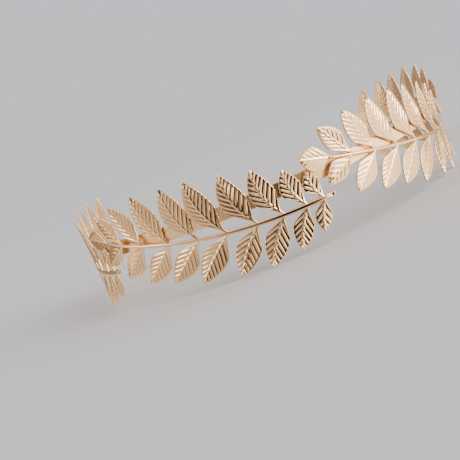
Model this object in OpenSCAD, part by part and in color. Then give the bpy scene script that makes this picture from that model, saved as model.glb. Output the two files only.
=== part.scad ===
// A leaf tiara: a flat open headband with four stamped leaf branches laid round its outer face.
// The two rear branches are cut off where the headband ends.
// The origin is on the ring's axis, at the level of the lowest leaf tips. The front centre is at -Y.

/* [Headband] */
// Radius of the headband's outer face
ring_radius = 70; // [66:1:80]
// Height of the flat strip
band_height = 5; // [3.5:0.1:6]
// Thickness of the flat strip
band_thickness = 1; // [0.8:0.1:1.6]
// Angle from the front centre to the centre of each rounded end
band_half_angle = 122; // [115:1:125]

/* [Branch] */
// Length that one branch's tip covers of the next one, along the ring
branch_overlap = 8.2; // [6:0.2:9]
// Height of the stem's cut end above the middle of the headband
stem_start = -7.9; // [-9:0.1:-6]
// Slope of the stem at its cut end, in degrees
stem_slope = -1.6; // [-4:0.2:0]
// How fast the slope grows along the stem, as the factor of the squared distance
stem_curve = 0.0019; // [0.0015:0.0001:0.0025]
// Width of the stem at its cut end
stem_width = 1.7; // [1:0.1:2]
// Gap between the headband and the sheet that lies against it
seat_gap = 0.15; // [0.1:0.05:0.3]
// How far a branch's tip stands out to pass over the next branch
tip_rise = 1.4; // [1.3:0.1:2]
// How much of its tip the left rear branch lacks, and of its cut end the right rear one
rear_trim = 21.8; // [20:0.2:22]

/* [Leaves] */
// Thickness of the stamped sheet between its ribs
sheet = 0.5; // [0.4:0.05:0.7]
// Height of the side ribs above the sheet
rib_height = 0.25; // [0.15:0.05:0.4]
// Height of the midrib above the sheet
midrib_height = 0.4; // [0.3:0.05:0.6]
// Depth of the teeth along a leaf's edge
tooth = 0.3; // [0.1:0.05:0.4]
// How far the midrib of a large upper leaf bows towards the branch's tip, as a share of its length
upper_bow = 0.105; // [0:0.005:0.14]
// The same for the lower leaves near the cut end
lower_bow = 0.055; // [0:0.005:0.1]
// How much wider a leaf's half on the side of the cut end is than the mean of its halves
fuller = 0.08; // [0:0.01:0.15]
// How far the tip of a leaf 20 mm long leans outwards
lean = 0.8; // [0:0.1:1.5]

/* [Hidden] */

// Leaf pairs from the cut end of the stem to its tip. Angles are measured from the ring's plane.
// Columns: distance from the cut end, upper length, upper angle, lower length, lower angle, width, ribs.
PAIRS = [
    [ 4.0, 10.5, 75, 10.5, 68, 5.9, 4],
    [ 9.8, 13.9, 75, 13.9, 61, 7.0, 5],
    [17.5, 17.8, 74, 16.9, 56, 8.0, 6],
    [26.1, 19.9, 73, 17.5, 51, 8.4, 7],
    [36.1, 21.3, 71, 18.9, 42, 8.7, 7],
    [46.1, 20.4, 74, 17.6, 38, 8.6, 7],
    [56.5, 19.8, 71, 16.6, 39, 8.4, 6],
    [66.7, 17.5, 66, 15.1, 38, 7.8, 5],
    [75.6, 14.4, 57, 12.3, 27, 7.0, 4]
];
// The terminal leaf: distance of its base from the cut end, length, width, ribs.
TERMINAL = [82.5, 10.6, 8.0, 4];

stem_end = TERMINAL[0] + 0.7;
branch_length = TERMINAL[0] + TERMINAL[1];
branch_angle = degrees_along(branch_length);
pitch_angle = degrees_along(branch_length - branch_overlap);
first_angle = (branch_angle - 3 * pitch_angle) / 2;
end_diameter = band_height * 1.12;
end_block = 12;
leaf_tip_half = 0.2;
stalk_half = 0.55;
stalk_share = 0.13;
stem_steps = 12;
stem_height = 0.95;

// Height of the middle of the headband above the lowest leaf tip.
middle_height = max([
    for (p = PAIRS)
        p[3] * sin(p[4]) + leaf_tip_half * (1 + fuller) * cos(p[4]) - stem_level(p[0])
]);

function degrees_along(length) = length / ring_radius * 180 / PI;

function stem_level(u) = stem_start + u * tan(stem_slope) + stem_curve * u * u;

function stem_angle(u) = atan(tan(stem_slope) + 2 * stem_curve * u);

function eased(t) = t <= 0 ? 0 : t >= 1 ? 1 : t * t * (3 - 2 * t);

// A point of a branch whose cut end is at the front: distance from that end, level, height off the band.
function on_ring(u, level, off) =
    let (a = -degrees_along(u), r = ring_radius + seat_gap + off + tip_rise * eased((u - 50) / 32))
    [r * sin(a), -r * cos(a), middle_height + level];

// Half of a leaf's width at t, which runs from 0 at the stem to 1 at the tip. A short stalk comes first.
function half_width(t, width) =
    let (b = max(0, (t - stalk_share) / (1 - stalk_share)))
    max(leaf_tip_half, stalk_half * (1 - t), width / 2 * pow(sin(180 * pow(b, 0.85)), 0.82 - 0.17 * b));

// One row of a leaf's points in its own plane: along it, across it and off it. Odd rows run up a rib.
function leaf_row(i, count, length, width, skew) =
    let (
        t = i / count,
        m = pow(t, 1.7),
        w = half_width(t, width) + (i % 2 == 1 ? tooth : 0),
        below = w * (1 + skew),
        above = w * (1 - skew),
        s = min(0.45, w * 0.45),
        rib = i % 2 == 1 ? rib_height : 0,
        k = m + (t - m) * s / w
    )
    [
        [t * length, -below, sheet + rib * 0.7],
        [k * length, -s, sheet + rib],
        [m * length, 0, sheet + midrib_height],
        [k * length, s, sheet + rib],
        [t * length, above, sheet + rib * 0.7],
        [t * length, -below, 0],
        [t * length, above, 0]
    ];

// Puts a point of a leaf that starts at the given place and angle on the ring.
function leaf_on_ring(p, u, level, angle, length, bow) =
    let (y = p[1] + bow * 4 * p[0] * (1 - p[0] / length))
    on_ring(
        u + p[0] * cos(angle) - y * sin(angle),
        level + p[0] * sin(angle) + y * cos(angle),
        p[2] + lean * pow(p[0] / 20, 2) * 20 / length
    );

// Two triangles for a four-sided patch.
function patch(a, b, c, d) = [[a, b, c], [a, c, d]];

// The bow and the skew are measured across the leaf, to its own left.
module leaf(u, angle, length, width, ribs, bow, skew) {
    count = 2 * ribs;
    rows = [for (i = [0 : count]) leaf_row(i, count, length, width, skew)];
    points = [
        for (row = rows)
            for (p = row)
                leaf_on_ring(p, u, stem_level(u), angle, length, bow)
    ];
    last = 7 * count;
    faces = [
        for (i = [0 : count - 1])
            let (a = 7 * i, b = 7 * i + 7)
            each concat(
                [for (c = [0 : 3]) each patch(a + c, b + c, b + c + 1, a + c + 1)],
                patch(a + 5, a + 6, b + 6, b + 5),
                patch(a + 5, b + 5, b, a),
                patch(b + 6, a + 6, a + 4, b + 4)
            ),
        [6, 5, 0], [6, 0, 1], [6, 1, 2], [6, 2, 3], [6, 3, 4],
        [last + 6, last, last + 5], [last + 6, last + 1, last], [last + 6, last + 2, last + 1],
        [last + 6, last + 3, last + 2], [last + 6, last + 4, last + 3]
    ];
    polyhedron(points, faces);
}

module stem_disc(u) {
    translate(on_ring(u, stem_level(u), 0))
        rotate([90, 0, -degrees_along(u)])
            cylinder(h = stem_height, d = stem_width * (1 - 0.35 * u / stem_end), $fn = 6);
}

module stem(from, to) {
    step = stem_end / stem_steps;
    for (i = [0 : stem_steps - 1]) {
        a = max(from, i * step);
        b = min(to, (i + 1) * step);
        if (a < b) {
            hull() {
                stem_disc(a);
                stem_disc(b);
            }
        }
    }
}

// A branch, or the stretch of one between two distances from its own cut end.
module branch(from = 0, to = stem_end) {
    union() {
        stem(from, to);
        for (p = PAIRS) {
            if (p[0] > from && p[0] < to) {
                leaf(p[0], p[2], p[1], p[5], p[6], -upper_bow * (1 - eased((p[0] - 48) / 30)), -fuller);
                leaf(p[0], -p[4], p[3], p[5] * 0.95, p[6], lower_bow * (1 - eased((p[0] - 22) / 30)), fuller);
            }
        }
        if (to == stem_end)
            leaf(TERMINAL[0], stem_angle(branch_length), TERMINAL[1], TERMINAL[2], TERMINAL[3], 0, 0);
    }
}

module placed(index) {
    color("goldenrod")
        rotate([0, 0, first_angle + index * pitch_angle])
            children();
}

// What is cut off the strip to round one of its ends: a block less a pin that points at the ring's axis.
module end_cut(side) {
    rotate([0, 0, side * band_half_angle])
        translate([0, 0, middle_height])
            difference() {
                translate([side > 0 ? 0 : -end_block, -ring_radius - 2, -end_block / 2])
                    cube([end_block, band_thickness + 4, end_block]);
                rotate([90, 0, 0])
                    cylinder(h = ring_radius + 3, d = end_diameter, $fn = 64);
            }
}

module headband() {
    color("gold")
        difference() {
            rotate([0, 0, -93 - band_half_angle])
                rotate_extrude(angle = 2 * band_half_angle + 6, $fn = 180)
                    translate([ring_radius - band_thickness, middle_height - band_height / 2])
                        square([band_thickness, band_height]);
            end_cut(1);
            end_cut(-1);
        }
}

headband();
placed(0) branch(to = branch_length - rear_trim);  // left_rear_branch
placed(1) branch();  // left_front_branch
placed(2) branch();  // right_front_branch
placed(3) branch(from = rear_trim);  // right_rear_branch
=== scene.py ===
import math

import bmesh
import bpy
from mathutils import Matrix, Vector, noise


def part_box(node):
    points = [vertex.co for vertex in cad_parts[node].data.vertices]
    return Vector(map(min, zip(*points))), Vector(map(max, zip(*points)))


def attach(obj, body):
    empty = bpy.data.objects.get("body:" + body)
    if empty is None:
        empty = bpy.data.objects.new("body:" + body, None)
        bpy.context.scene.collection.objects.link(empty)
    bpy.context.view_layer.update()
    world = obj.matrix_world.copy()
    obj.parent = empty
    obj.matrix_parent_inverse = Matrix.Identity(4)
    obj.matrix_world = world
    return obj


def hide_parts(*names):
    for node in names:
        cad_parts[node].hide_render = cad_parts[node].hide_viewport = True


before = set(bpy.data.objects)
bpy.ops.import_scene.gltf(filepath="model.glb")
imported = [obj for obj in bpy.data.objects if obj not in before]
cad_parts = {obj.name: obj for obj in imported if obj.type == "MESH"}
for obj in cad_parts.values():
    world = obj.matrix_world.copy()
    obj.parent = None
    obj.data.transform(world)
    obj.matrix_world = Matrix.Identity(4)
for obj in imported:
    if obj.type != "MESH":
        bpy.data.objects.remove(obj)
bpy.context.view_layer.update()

# The headband: one flat strip of brass, cut with rounded ends, its edges broken
# by tumbling, bent into an open ring and gold plated. Everything else is fixed
# to its outer face.
RING_RADIUS = 0.070
STRIP_HEIGHT = 0.005
STRIP_THICKNESS = 0.001
STRIP_EDGE = 0.00022
END_ANGLE = math.radians(122)
END_RADIUS = STRIP_HEIGHT * 0.56
END_START = END_ANGLE * RING_RADIUS
STRIP_REACH = END_START + END_RADIUS
STRIP_ROWS = 420
STRIP_COLUMNS = 12
FLAT_WEAR = 0.45
EDGE_WEAR = 0.95

strip_low, strip_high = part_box("headband")
RING_LEVEL = (strip_low.z + strip_high.z) / 2


def wear_and_painted_shade():
    """Node group: gold that is brighter on rubbed heights, and duller in the hollows, where its deeper
    colour is painted shade.
    """
    group = bpy.data.node_groups.new("wear_and_painted_shade", "ShaderNodeTree")
    face = group.interface
    for name, kind, value in (
        ("Height", "NodeSocketFloat", 0.5),
        ("Hollow Color", "NodeSocketColor", (0.5, 0.3, 0.15, 1)),
        ("Ridge Color", "NodeSocketColor", (0.9, 0.7, 0.5, 1)),
        ("Hollow Roughness", "NodeSocketFloat", 0.35),
        ("Ridge Roughness", "NodeSocketFloat", 0.15),
        ("Mottle", "NodeSocketFloat", 0.1),
        ("Grain", "NodeSocketFloat", 0.2),
    ):
        socket = face.new_socket(name, in_out="INPUT", socket_type=kind)
        socket.default_value = value
    face.new_socket("Color", in_out="OUTPUT", socket_type="NodeSocketColor")
    face.new_socket("Roughness", in_out="OUTPUT", socket_type="NodeSocketFloat")
    face.new_socket("Normal", in_out="OUTPUT", socket_type="NodeSocketVector")
    nodes, links = group.nodes, group.links
    given = nodes.new("NodeGroupInput")
    result = nodes.new("NodeGroupOutput")
    place = nodes.new("ShaderNodeTexCoord")

    # Clouds a few mm across shift the mix of rubbed tone and painted shade up and down.
    clouds = nodes.new("ShaderNodeTexNoise")
    clouds.inputs["Scale"].default_value = 260
    clouds.inputs["Detail"].default_value = 4
    links.new(place.outputs["Object"], clouds.inputs["Vector"])
    centred = nodes.new("ShaderNodeMath")
    centred.operation = "SUBTRACT"
    centred.inputs[1].default_value = 0.5
    links.new(clouds.outputs["Fac"], centred.inputs[0])
    drift = nodes.new("ShaderNodeMath")
    drift.operation = "MULTIPLY_ADD"
    links.new(centred.outputs[0], drift.inputs[0])
    links.new(given.outputs["Mottle"], drift.inputs[1])
    links.new(given.outputs["Height"], drift.inputs[2])
    wear_shade_factor = nodes.new("ShaderNodeClamp")
    links.new(drift.outputs[0], wear_shade_factor.inputs["Value"])

    # Low relief takes the deeper Hollow Color, a painted shade; high relief takes the Ridge Color of rubbed
    # gold.
    tone = nodes.new("ShaderNodeMix")
    tone.data_type = "RGBA"
    links.new(wear_shade_factor.outputs[0], tone.inputs["Factor"])
    links.new(given.outputs["Hollow Color"], tone.inputs["A"])
    links.new(given.outputs["Ridge Color"], tone.inputs["B"])
    links.new(tone.outputs["Result"], result.inputs["Color"])

    dull = nodes.new("ShaderNodeMix")
    links.new(wear_shade_factor.outputs[0], dull.inputs["Factor"])
    links.new(given.outputs["Hollow Roughness"], dull.inputs["A"])
    links.new(given.outputs["Ridge Roughness"], dull.inputs["B"])
    links.new(dull.outputs["Result"], result.inputs["Roughness"])

    # The polish leaves a fine grain, a few tenths of a mm across.
    grain = nodes.new("ShaderNodeTexNoise")
    grain.inputs["Scale"].default_value = 2600
    grain.inputs["Detail"].default_value = 2
    links.new(place.outputs["Object"], grain.inputs["Vector"])
    bump = nodes.new("ShaderNodeBump")
    bump.inputs["Distance"].default_value = 0.00003
    links.new(given.outputs["Grain"], bump.inputs["Strength"])
    links.new(grain.outputs["Fac"], bump.inputs["Height"])
    links.new(bump.outputs["Normal"], result.inputs["Normal"])
    return group


WEAR_AND_PAINTED_SHADE = wear_and_painted_shade()


def gold(name, **values):
    """Gold plating whose wear and painted shade follow the piece's own relief attribute."""
    material = bpy.data.materials.new(name)
    material.use_nodes = True
    nodes, links = material.node_tree.nodes, material.node_tree.links
    shader = nodes["Principled BSDF"]
    shader.inputs["Metallic"].default_value = 1
    relief = nodes.new("ShaderNodeAttribute")
    relief.attribute_name = "relief"
    wear_and_shade = nodes.new("ShaderNodeGroup")
    wear_and_shade.node_tree = WEAR_AND_PAINTED_SHADE
    for socket, value in values.items():
        wear_and_shade.inputs[socket.replace("_", " ")].default_value = value
    links.new(relief.outputs["Fac"], wear_and_shade.inputs["Height"])
    links.new(wear_and_shade.outputs["Color"], shader.inputs["Base Color"])
    links.new(wear_and_shade.outputs["Roughness"], shader.inputs["Roughness"])
    links.new(wear_and_shade.outputs["Normal"], shader.inputs["Normal"])
    return material


def finished(bm, name, material, node):
    """Turns a bmesh into a smooth piece that stands for a CAD node."""
    bmesh.ops.recalc_face_normals(bm, faces=bm.faces[:])
    for face in bm.faces:
        face.smooth = True
    # Extruding leaves the faces in another order each run, so they are sorted by their corners.
    bm.verts.index_update()
    count = len(bm.verts)
    corners = {face: [vert.index for vert in face.verts] for face in bm.faces}
    bm.faces.sort(key=lambda face: min(corners[face]) * count + max(corners[face]))
    mesh = bpy.data.meshes.new(name)
    bm.to_mesh(mesh)
    bm.free()
    mesh.materials.append(material)
    piece = bpy.data.objects.new(name, mesh)
    bpy.context.scene.collection.objects.link(piece)
    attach(piece, "root")
    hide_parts(node)
    return piece


def slab(bm, rows, columns):
    """A flat closed slab, 2 by 2 by 1, of a grid of faces. Every sheet metal part starts as one.

    Its front lies at 0 and its back at -1.
    """
    front = bmesh.ops.create_grid(bm, x_segments=rows, y_segments=columns, size=1)["verts"]
    faces = list(dict.fromkeys(face for vert in front for face in vert.link_faces))
    made = bmesh.ops.extrude_face_region(bm, geom=faces, use_keep_orig=True)["geom"]
    back = [item for item in made if isinstance(item, bmesh.types.BMVert)]
    bmesh.ops.translate(bm, verts=back, vec=(0, 0, -1))
    return front + back


def bent(along, level, out):
    """Bends the flat sheet round the ring: along it, above its middle line and off its outer face."""
    angle = along / RING_RADIUS
    radius = RING_RADIUS + out
    return Vector((radius * math.sin(angle), -radius * math.cos(angle), RING_LEVEL + level))


strip = bmesh.new()
relief = strip.verts.layers.float.new("relief")
for vert in slab(strip, STRIP_ROWS, STRIP_COLUMNS):
    x, y, z = vert.co
    along = STRIP_REACH * x
    past = max(0.0, abs(along) - END_START)
    half = min(STRIP_HEIGHT / 2, math.sqrt(max(0.0, END_RADIUS**2 - past**2)))
    edge = 1 - min(1.0, (1 - abs(y)) * STRIP_COLUMNS / 2)
    vert[relief] = FLAT_WEAR + (EDGE_WEAR - FLAT_WEAR) * edge
    # The columns crowd towards the edges, which tumbling has rounded.
    across = math.copysign(math.sin(abs(y) * math.pi / 2) ** 0.8, y)
    rounding = max(0.0, 1 - half * (1 - abs(across)) / STRIP_EDGE)
    drop = STRIP_EDGE * (1 - math.sqrt(max(0.0, 1 - rounding**2)))
    vert.co = bent(along, half * across, -drop if z > -0.5 else drop - STRIP_THICKNESS)
bmesh.ops.remove_doubles(strip, verts=strip.verts[:], dist=0.00001)

band_gold = gold(
    "band_gold",
    Hollow_Color=(0.84, 0.56, 0.29, 1),
    Ridge_Color=(0.94, 0.67, 0.39, 1),
    Hollow_Roughness=0.33,
    Ridge_Roughness=0.28,
    Mottle=0.5,
    Grain=0.25,
)
finished(strip, "headband_strip", band_gold, "headband")

# The four leaf branches: one stamping of thin brass with a half round stem, nine
# pairs of leaves and a terminal leaf, gold plated, used four times. Each is fixed
# to the strip along its stem, and its tip passes over the cut end of the next.

# All lengths of the branches are in mm, and u is the distance from a branch's own cut end.
# Columns: u of the pair, upper length and angle, lower length and angle, width. Angles in degrees.
PAIRS = (
    (4.0, 10.5, 75, 10.5, 68, 5.9),
    (9.8, 13.9, 75, 13.9, 61, 7.0),
    (17.5, 17.8, 74, 16.9, 56, 8.0),
    (26.1, 19.9, 73, 17.5, 51, 8.4),
    (36.1, 21.3, 71, 18.9, 42, 8.7),
    (46.1, 20.4, 74, 17.6, 38, 8.6),
    (56.5, 19.8, 71, 16.6, 39, 8.4),
    (66.7, 17.5, 66, 15.1, 38, 7.8),
    (75.6, 14.4, 57, 12.3, 27, 7.0),
)
TERMINAL_START = 82.5
TERMINAL_LENGTH = 10.6
TERMINAL_WIDTH = 8.0
BRANCH_LENGTH = TERMINAL_START + TERMINAL_LENGTH
REAR_TRIM = 21.8
OVERLAP = 8.2
SEAT_GAP = 0.15
TIP_RISE = 1.4
STEM_END = TERMINAL_START + 0.7
STEM_WIDTH = 1.7
STEM_TAPER = 0.35
STEM_HEIGHT = 1.05
STEM_LEVEL = -7.9
STEM_SLOPE = math.tan(math.radians(-1.6))
STEM_CURVE = 0.0019

RING_MM = RING_RADIUS * 1000
BRANCH_TURN = BRANCH_LENGTH / RING_MM
PITCH_TURN = (BRANCH_LENGTH - OVERLAP) / RING_MM
FIRST_TURN = (BRANCH_TURN - 3 * PITCH_TURN) / 2
# Each branch, and the stretch of the stamping that it keeps.
BRANCHES = (
    ("left_rear_branch", 0, BRANCH_LENGTH - REAR_TRIM),
    ("left_front_branch", 0, STEM_END),
    ("right_front_branch", 0, STEM_END),
    ("right_rear_branch", REAR_TRIM, STEM_END),
)


def eased(t):
    t = min(1.0, max(0.0, t))
    return t * t * (3 - 2 * t)


def eases(u, first, last, start, over):
    """A value that changes smoothly from first to last along a stretch of the branch."""
    return first + (last - first) * eased((u - start) / over)


def stem_level(u):
    return STEM_LEVEL + u * STEM_SLOPE + STEM_CURVE * u * u


def laid(turn, u, level, off):
    """Lays a point of a branch on the strip, at the branch's own turn, its tip rising over the next."""
    out = SEAT_GAP + off + eases(u, 0, TIP_RISE, 50, 32)
    return bent(turn * RING_RADIUS - u / 1000, level / 1000, out / 1000)


# A leaf's blade is a sheet with a rounded midrib and side ribs. Its columns run from midrib to margin.
SHEET = 0.45
SIDE_COLUMNS = (0.0, 0.05, 0.11, 0.19, 0.32, 0.47, 0.62, 0.75, 0.84, 0.9, 0.95, 1.0)
MARGIN_START = 0.9
MARGIN_CREST = 0.95
STALK_ROWS = 4
STALK_HALF = 0.55
STALK_HEIGHT = 0.95
RIB_PITCH = 2.1
RIB_ROWS = 10
RIB_SLANT = 1.25
RIB_HEIGHT = 0.25
RIB_NARROWNESS = 6
FEWEST_RIBS = 4
TOOTH = 0.16
MIDRIB_HEIGHT = 0.4
MIDRIB_HALF = 0.27
CROWN = 0.22
TIP_HALF = 0.1
BACK_OFF = 0.02
# The backs of the leaves take a fixed middle tone of the gold: painted shade under the leaves.
BACK_SHADE_TONE = 0.5
LEAN = 0.8
LEAN_LENGTH = 20


def blade_half(t, stalk, width, fullness):
    """Half of a blade's width at t, from 0 at the stem to 1 at the tip. A low fullness makes it full."""
    root = stalk * 0.6
    b = (t - root) / (1 - root)
    return width / 2 * math.sin(math.pi * b**0.87) ** fullness if 0 < b < 1 else 0.0


def margin_place(m, length, stalk, width, fullness):
    """Where the rib that leaves the midrib at m meets the margin, found by halving."""
    low, high = m, 1.0
    for _ in range(30):
        middle = (low + high) / 2
        if middle - blade_half(middle, stalk, width, fullness) * RIB_SLANT / length < m:
            low = middle
        else:
            high = middle
    return (low + high) / 2


def pressed_blade(front, side, across, m, rib, depth):
    """Height off the strip, and the tone of wear and painted shade, of a point of a blade where the rib is
    as high as given.
    """
    midrib = math.sqrt(depth) * MIDRIB_HEIGHT * (1 - 0.5 * m) * math.exp(-((across / MIDRIB_HALF) ** 2))
    crown = CROWN * (1 - side**1.7) * min(1.0, across / 2 + 0.5)
    # The back takes one fixed middle tone, a painted shade under the leaf.
    if not front:
        return BACK_OFF + 0.6 * rib + 0.4 * midrib + crown, BACK_SHADE_TONE
    high = SHEET - 0.06 + rib + midrib + crown
    # Ribs and the midrib take the light tone of rubbed gold, and the hollows between them a dark tone that
    # is painted shade.
    wear_and_shade = min(1.0, 0.05 + (3.4 * rib + 1.7 * midrib) / math.sqrt(depth))
    if side > MARGIN_START:
        # The margin rolls up to a low crest and down again. Its crest takes a lighter tone and its outer
        # edge a darker one.
        high += 0.06 * eased((side - MARGIN_START) / 0.05) - 0.1 * eased((side - MARGIN_CREST) / 0.05)
        wear_and_shade = 0.6 if side < 0.94 else 0.4
    return high, wear_and_shade


def leaf(bm, relief, turn, u, angle, length, width, stalk, bow, skew, depth, fullness=0.8, lift=0.0):
    """Presses one leaf: a stalk, a midrib, ribs that run out to the toothed margin, and a hollow back.

    stalk is a share of the length, bow bends the leaf sideways, skew makes one half wider than the
    other, depth is how deep the die presses it, and lift tilts it off the branch below.
    """
    ribs = max(FEWEST_RIBS, round(length * (1 - stalk) / RIB_PITCH))
    blade_rows = ribs * RIB_ROWS
    rows = STALK_ROWS + blade_rows
    columns = 2 * (len(SIDE_COLUMNS) - 1)
    level = stem_level(u)
    cosine, sine = math.cos(angle), math.sin(angle)
    margins = []
    for j in range(blade_rows + 1):
        m = stalk + (1 - stalk) * j / blade_rows
        t = max(m, margin_place(m, length, stalk, width, fullness))
        margins.append((m, t, max(TIP_HALF, blade_half(t, stalk, width, fullness))))
    for vert in slab(bm, rows, columns):
        row = round((vert.co.x + 1) / 2 * rows)
        column = round((vert.co.y + 1) / 2 * columns) - columns // 2
        side = SIDE_COLUMNS[abs(column)]
        front = vert.co.z > -0.5
        j = row - STALK_ROWS
        if j < 0:
            m = t = stalk * row / STALK_ROWS
            across = STALK_HALF * side
        else:
            m, t, half = margins[j]
            # The ribs of the two halves leave the midrib in turn, not in pairs.
            phase = j / RIB_ROWS + (0.5 if column > 0 else 0)
            tooth = TOOTH * depth * max(0.0, 1 - abs((phase + 0.35) % 1 - 0.5) * 2.2)
            across = (half + tooth * min(1.0, half, j / RIB_ROWS * 1.6)) * side
        x = (m + (t - m) * side**1.1) * length
        y = across * (1 + skew * (1 if column < 0 else -1))
        if j < 0:
            # The stalk's back takes a slightly darker tone than its front, painted shade under the stalk.
            high, wear_and_shade = (STALK_HEIGHT - 0.3 * side**2, 0.4) if front else (BACK_OFF, 0.35)
        else:
            # No two ribs come out quite as high, and each fades at the midrib, the margin and the tip.
            rib = depth * RIB_HEIGHT * (1 - ((phase + 0.5) % 1 * 2 - 1) ** 2) ** RIB_NARROWNESS
            rib *= 0.82 + 0.36 * noise.noise(Vector((x * 0.45 + u, y * 0.3 + angle * 7, 1.3)))
            rib *= eased(side / 0.16) * eased((0.97 - side) / 0.17 * depth)
            rib *= min(1.0, (blade_rows - j) * depth / RIB_ROWS * 1.3)
            high, wear_and_shade = pressed_blade(front, side, across, m, rib, depth)
        vert[relief] = wear_and_shade
        y = math.copysign(y, column) + bow * 4 * x * (1 - x / length)
        off = high + lift * x + LEAN * (x / LEAN_LENGTH) ** 2 * LEAN_LENGTH / length
        vert.co = laid(turn, u + x * cosine - y * sine, level + x * sine + y * cosine, off)


def stem(bm, relief, turn, start, end):
    """Presses the stem: half round, tapering to the tip, with a small dimple by its cut end."""
    bmesh.ops.create_cone(bm, cap_ends=True, segments=20, radius1=1, radius2=1, depth=2)
    sides = [edge for edge in bm.edges if abs(edge.verts[0].co.z - edge.verts[1].co.z) > 1]
    bmesh.ops.subdivide_edges(bm, edges=sides, cuts=180)
    for vert in bm.verts:
        x, y, z = vert.co
        u = start + (end - start) * (z + 1) / 2
        half = STEM_WIDTH / 2 * (1 - STEM_TAPER * u / STEM_END)
        from_end = min(u - start, end - u)
        round_end = math.sqrt(max(0.04, 1 - max(0.0, 1 - from_end / 0.7) ** 2))
        level = stem_level(u) + half * round_end * x
        off = STEM_HEIGHT * (0.5 + 0.5 * y if y < 0 else 0.5 + 0.5 * y * round_end)
        dimple = math.exp(-(((u - 1.5) / 0.75) ** 2) - (x / 0.42) ** 2) if y > 0 else 0
        off -= 0.5 * dimple
        # The stem takes a dark tone of the gold, and the dimple a darker one still, painted shade in the
        # dimple.
        vert[relief] = max(0.0, 0.15 - 0.6 * dimple)
        vert.co = laid(turn, u, level, max(0.0, off))


leaf_gold = gold(
    "leaf_gold",
    Hollow_Color=(0.68, 0.41, 0.225, 1),
    Ridge_Color=(0.95, 0.68, 0.39, 1),
    Hollow_Roughness=0.15,
    Ridge_Roughness=0.1,
    Mottle=0.3,
    Grain=0.3,
)

# Along a branch the leaves straighten and are pressed less deep. Near its tip the fuller half of the
# lower leaves changes sides.
for index, (node, start, end) in enumerate(BRANCHES):
    turn = FIRST_TURN + index * PITCH_TURN
    branch = bmesh.new()
    relief = branch.verts.layers.float.new("relief")
    stem(branch, relief, turn, start, end)
    for u, upper, upper_angle, lower, lower_angle, width in PAIRS:
        if start < u < end:
            leaf(
                branch, relief, turn, u, math.radians(upper_angle), upper, width,
                stalk=0.16,
                bow=eases(u, -0.105, 0, 48, 30),
                skew=-0.08,
                depth=eases(u, 1, 0.8, 20, 20),
            )
            leaf(
                branch, relief, turn, u, math.radians(-lower_angle), lower, width * 0.95,
                stalk=0.13,
                bow=eases(u, 0.055, 0, 22, 30),
                skew=eases(u, 0.08, -0.12, 66, 9),
                depth=eases(u, 1, 0.6, 28, 12),
            )
    if end == STEM_END:
        tip_angle = math.atan(STEM_SLOPE + 2 * STEM_CURVE * BRANCH_LENGTH)
        leaf(
            branch, relief, turn, TERMINAL_START, tip_angle, TERMINAL_LENGTH, TERMINAL_WIDTH,
            stalk=0.08, bow=0, skew=0, depth=0.45, fullness=0.64, lift=0.08,
        )
    finished(branch, node + "_stamping", leaf_gold, node)

# The stage: a sheet of pale paper on the floor, a soft studio room all round that
# is both the light and what the gold mirrors, and the camera.
ground = bmesh.new()
bmesh.ops.create_circle(ground, cap_ends=True, segments=96, radius=1)
floor_mesh = bpy.data.meshes.new("floor")
ground.to_mesh(floor_mesh)
ground.free()
floor = bpy.data.objects.new("floor", floor_mesh)
bpy.context.scene.collection.objects.link(floor)
paper = bpy.data.materials.new("paper")
paper.use_nodes = True
nodes, links = paper.node_tree.nodes, paper.node_tree.links
matt = nodes["Principled BSDF"]
matt.inputs["Base Color"].default_value = (0.43, 0.433, 0.475, 1)
matt.inputs["Roughness"].default_value = 0.9
# Far from the tiara the paper fades into the even background, so no horizon shows.
spot = nodes.new("ShaderNodeTexCoord")
far = nodes.new("ShaderNodeVectorMath")
far.operation = "LENGTH"
links.new(spot.outputs["Object"], far.inputs[0])
fade = nodes.new("ShaderNodeMapRange")
fade.interpolation_type = "SMOOTHSTEP"
fade.inputs["From Min"].default_value = 0.15
fade.inputs["From Max"].default_value = 0.7
links.new(far.outputs["Value"], fade.inputs["Value"])
clear = nodes.new("ShaderNodeBsdfTransparent")
mixed = nodes.new("ShaderNodeMixShader")
links.new(fade.outputs["Result"], mixed.inputs["Fac"])
links.new(matt.outputs["BSDF"], mixed.inputs[1])
links.new(clear.outputs["BSDF"], mixed.inputs[2])
links.new(mixed.outputs["Shader"], nodes["Material Output"].inputs["Surface"])
floor_mesh.materials.append(paper)
# The gold mirrors the lower half of the room in place of the paper.
floor.visible_glossy = False

world = bpy.data.worlds.new("studio")
bpy.context.scene.world = world
world.use_nodes = True
room = world.node_tree
direction = room.nodes.new("ShaderNodeTexCoord")
split = room.nodes.new("ShaderNodeSeparateXYZ")
room.links.new(direction.outputs["Generated"], split.inputs[0])


def worked_out(kind, first, second=None):
    """A Math node on sockets or plain numbers."""
    node = room.nodes.new("ShaderNodeMath")
    node.operation = kind
    for socket, value in zip(node.inputs, (first, second)):
        if isinstance(value, bpy.types.NodeSocket):
            room.links.new(value, socket)
        elif value is not None:
            socket.default_value = value
    return node.outputs[0]


def within(angle, centre, half, soft):
    """1 near an angle, falling softly to 0 away from it. All in degrees."""
    away = worked_out("ABSOLUTE", worked_out("SUBTRACT", angle, math.radians(centre)))
    fall = room.nodes.new("ShaderNodeMapRange")
    fall.interpolation_type = "SMOOTHSTEP"
    room.links.new(away, fall.inputs["Value"])
    fall.inputs["From Min"].default_value = math.radians(half - soft)
    fall.inputs["From Max"].default_value = math.radians(half + soft)
    fall.inputs["To Min"].default_value = 1
    fall.inputs["To Max"].default_value = 0
    return fall.outputs["Result"]


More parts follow.
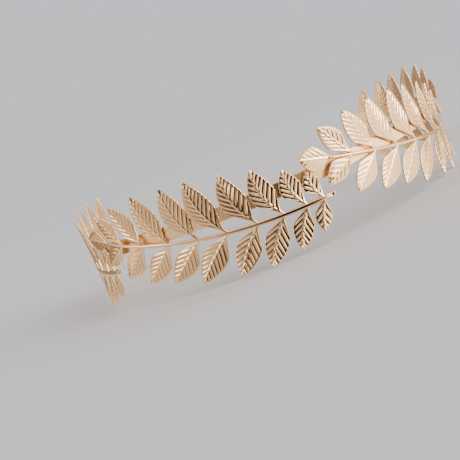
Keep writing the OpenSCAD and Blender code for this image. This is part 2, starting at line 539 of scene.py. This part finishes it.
def lit(under, mask, color):
    """Lays one part of the room over the others."""
    mix = room.nodes.new("ShaderNodeMix")
    mix.data_type = "RGBA"
    room.links.new(mask, mix.inputs["Factor"])
    if isinstance(under, bpy.types.NodeSocket):
        room.links.new(under, mix.inputs["A"])
    else:
        mix.inputs["A"].default_value = under
    mix.inputs["B"].default_value = color
    return mix.outputs["Result"]


# The way round from the front, and the height above the floor, both as angles.
way_round = worked_out("ARCTAN2", split.outputs["X"], worked_out("MULTIPLY", split.outputs["Y"], -1.0))
height_up = worked_out("ARCSINE", split.outputs["Z"])

# The parts of the room, each laid over those before it. The way round and the height are given as the
# centre, the half width and the softness of the edge, in degrees, and None is all round or at every height.
ROOM_PARTS = (
    ((-74, 32, 12), None, (1.02, 0.92, 0.76, 1)),  # warm wall at the left
    ((-108, 9, 4), (0, 36, 10), (2.0, 1.76, 1.35, 1)),  # tall reflector beside it
    (None, (90, 42, 14), (2.0, 1.97, 1.92, 1)),  # ceiling
    (None, (-90, 62, 10), (1.3, 1.28, 1.25, 1)),  # pale floor
    ((118, 36, 8), (8, 50, 12), (1.2, 1.02, 0.75, 1)),  # warm wall behind, at the right
    ((58, 40, 5), (8, 50, 12), (3.5, 3.25, 2.8, 1)),  # broad soft window at the right
    ((48, 16, 4), (13, 7, 3), (20, 19, 17.5, 1)),  # its brightest pane
    ((-84, 13, 4), (24, 11, 4), (7, 6.8, 6.5, 1)),  # small high window at the left
    ((-18, 25, 8), (0, 36, 10), (0.32, 0.25, 0.205, 1)),  # brown screen in front, at the left
    ((-5, 16, 5), (0, 32, 10), (0.13, 0.098, 0.08, 1)),  # its shaded side
    ((2, 15.5, 4), (-4, 28, 8), (0.02, 0.014, 0.011, 1)),  # black screen in front
)
walls = (0.5, 0.44, 0.37, 1)
for around, height, color in ROOM_PARTS:
    masks = [within(angle, *span) for angle, span in ((way_round, around), (height_up, height)) if span]
    walls = lit(walls, masks[0] if len(masks) == 1 else worked_out("MULTIPLY", *masks), color)

# The camera itself sees one even pale tone behind the tiara.
seen = room.nodes.new("ShaderNodeLightPath")
plain = room.nodes.new("ShaderNodeMix")
plain.data_type = "RGBA"
room.links.new(seen.outputs["Is Camera Ray"], plain.inputs["Factor"])
room.links.new(walls, plain.inputs["A"])
plain.inputs["B"].default_value = (0.80, 0.80, 0.865, 1)
room.links.new(plain.outputs["Result"], room.nodes["Background"].inputs["Color"])

PICTURE_WIDTH = 460
FOCAL_LENGTH = 900
CAMERA_PLACE = Vector((-0.07881, -0.33785, 0.03461 + RING_LEVEL))
look = Vector((0.1725, 0.9745, -0.1433)).normalized()
up = Vector((0.4154, 0.0599, 0.9077))
right = look.cross(up).normalized()
up = right.cross(look)
camera = bpy.data.cameras.new("camera")
camera.sensor_width = 36
# Both lengths are in pixels of the picture.
camera.lens = camera.sensor_width * FOCAL_LENGTH / PICTURE_WIDTH
camera.clip_start = 0.01
view = bpy.data.objects.new("camera", camera)
bpy.context.scene.collection.objects.link(view)
turned = Matrix((right, up, -look)).transposed().to_4x4()
view.matrix_world = Matrix.Translation(CAMERA_PLACE) @ turned
bpy.context.scene.camera = view
